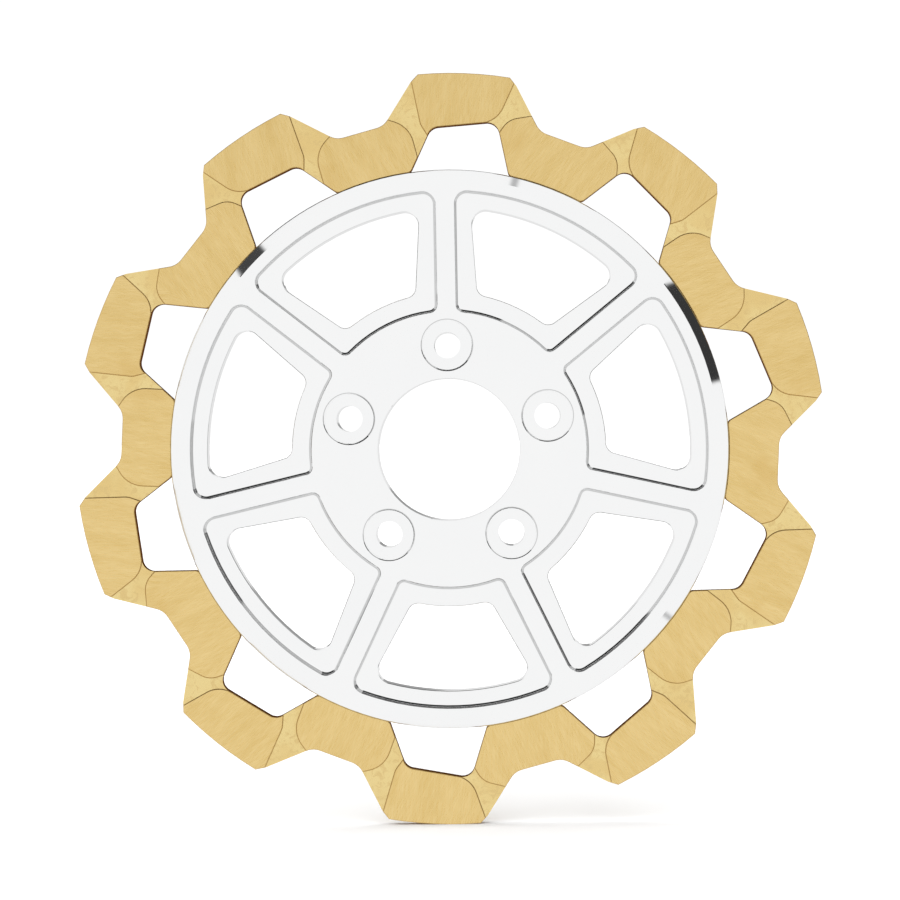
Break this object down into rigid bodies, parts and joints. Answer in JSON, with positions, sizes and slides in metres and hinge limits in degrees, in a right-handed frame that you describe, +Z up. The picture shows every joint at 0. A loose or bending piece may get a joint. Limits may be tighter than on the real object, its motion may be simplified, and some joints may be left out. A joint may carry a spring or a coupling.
{
  "type": "motorcycle brake disc rotor",
  "caption": "Two-piece floating motorcycle brake disc: a spoked bright carrier with a toothed gold friction ring that floats on sprung bobbins behind the carrier's rim.",
  "frame": {"origin": "on the axle, in the plane of the hub's mounting face on the carrier's back", "axes": "+Y along the axle from the visible front face towards the wheel hub, +Z up through the centre of one spoke and one hub bolt, +X to the right as seen from the front"},
  "size_m": [0.2972, 0.016, 0.3],
  "materials": {
    "polished_aluminium": "mirror-bright plated aluminium billet",
    "gold_steel": "gold-coloured stainless steel, ground pads and milled recesses",
    "bobbin_steel": "turned stainless steel",
    "screw_steel": "black-oxide alloy steel",
    "washer_steel": "bright spring steel"
  },
  "bodies": {
    "carrier": {"carrier": "polished_aluminium", "shoulder_screw_01": "screw_steel", "shoulder_screw_02": "screw_steel", "shoulder_screw_03": "screw_steel", "shoulder_screw_04": "screw_steel", "shoulder_screw_05": "screw_steel", "shoulder_screw_06": "screw_steel", "shoulder_screw_07": "screw_steel", "shoulder_screw_08": "screw_steel", "shoulder_screw_09": "screw_steel", "shoulder_screw_10": "screw_steel", "wave_washer_01": "washer_steel", "wave_washer_02": "washer_steel", "wave_washer_03": "washer_steel", "wave_washer_04": "washer_steel", "wave_washer_05": "washer_steel", "wave_washer_06": "washer_steel", "wave_washer_07": "washer_steel", "wave_washer_08": "washer_steel", "wave_washer_09": "washer_steel", "wave_washer_10": "washer_steel"},
    "ring": {"friction_ring": "gold_steel", "thrust_washer_01": "washer_steel", "thrust_washer_02": "washer_steel", "thrust_washer_03": "washer_steel", "thrust_washer_04": "washer_steel", "thrust_washer_05": "washer_steel", "thrust_washer_06": "washer_steel", "thrust_washer_07": "washer_steel", "thrust_washer_08": "washer_steel", "thrust_washer_09": "washer_steel", "thrust_washer_10": "washer_steel"},
    "bobbin_01": {"drive_bobbin_01": "bobbin_steel"},
    "bobbin_02": {"drive_bobbin_02": "bobbin_steel"},
    "bobbin_03": {"drive_bobbin_03": "bobbin_steel"},
    "bobbin_04": {"drive_bobbin_04": "bobbin_steel"},
    "bobbin_05": {"drive_bobbin_05": "bobbin_steel"},
    "bobbin_06": {"drive_bobbin_06": "bobbin_steel"},
    "bobbin_07": {"drive_bobbin_07": "bobbin_steel"},
    "bobbin_08": {"drive_bobbin_08": "bobbin_steel"},
    "bobbin_09": {"drive_bobbin_09": "bobbin_steel"},
    "bobbin_10": {"drive_bobbin_10": "bobbin_steel"}
  },
  "joints": [
    {"name": "ring_float", "type": "slide", "parent": "carrier", "child": "ring", "axis": [0, 1, 0], "range_m": [0, 0.00035], "stiffness_N_per_m": 20000, "deforming": ["wave_washer_01", "wave_washer_02", "wave_washer_03", "wave_washer_04", "wave_washer_05", "wave_washer_06", "wave_washer_07", "wave_washer_08", "wave_washer_09", "wave_washer_10"]},
    {"name": "bobbin_spin_01", "type": "hinge", "parent": "carrier", "child": "bobbin_01", "pos_m": [0.03761, 0, 0.09696], "axis": [0, 1, 0], "continuous": true},
    {"name": "bobbin_spin_02", "type": "hinge", "parent": "carrier", "child": "bobbin_02", "pos_m": [-0.02657, 0, 0.10055], "axis": [0, 1, 0], "continuous": true},
    {"name": "bobbin_spin_03", "type": "hinge", "parent": "carrier", "child": "bobbin_03", "pos_m": [-0.08059, 0, 0.06573], "axis": [0, 1, 0], "continuous": true},
    {"name": "bobbin_spin_04", "type": "hinge", "parent": "carrier", "child": "bobbin_04", "pos_m": [-0.10384, 0, 0.00581], "axis": [0, 1, 0], "continuous": true},
    {"name": "bobbin_spin_05", "type": "hinge", "parent": "carrier", "child": "bobbin_05", "pos_m": [-0.08742, 0, -0.05634], "axis": [0, 1, 0], "continuous": true},
    {"name": "bobbin_spin_06", "type": "hinge", "parent": "carrier", "child": "bobbin_06", "pos_m": [-0.03761, 0, -0.09696], "axis": [0, 1, 0], "continuous": true},
    {"name": "bobbin_spin_07", "type": "hinge", "parent": "carrier", "child": "bobbin_07", "pos_m": [0.02657, 0, -0.10055], "axis": [0, 1, 0], "continuous": true},
    {"name": "bobbin_spin_08", "type": "hinge", "parent": "carrier", "child": "bobbin_08", "pos_m": [0.08059, 0, -0.06573], "axis": [0, 1, 0], "continuous": true},
    {"name": "bobbin_spin_09", "type": "hinge", "parent": "carrier", "child": "bobbin_09", "pos_m": [0.10384, 0, -0.00581], "axis": [0, 1, 0], "continuous": true},
    {"name": "bobbin_spin_10", "type": "hinge", "parent": "carrier", "child": "bobbin_10", "pos_m": [0.08742, 0, 0.05634], "axis": [0, 1, 0], "continuous": true}
  ]
}
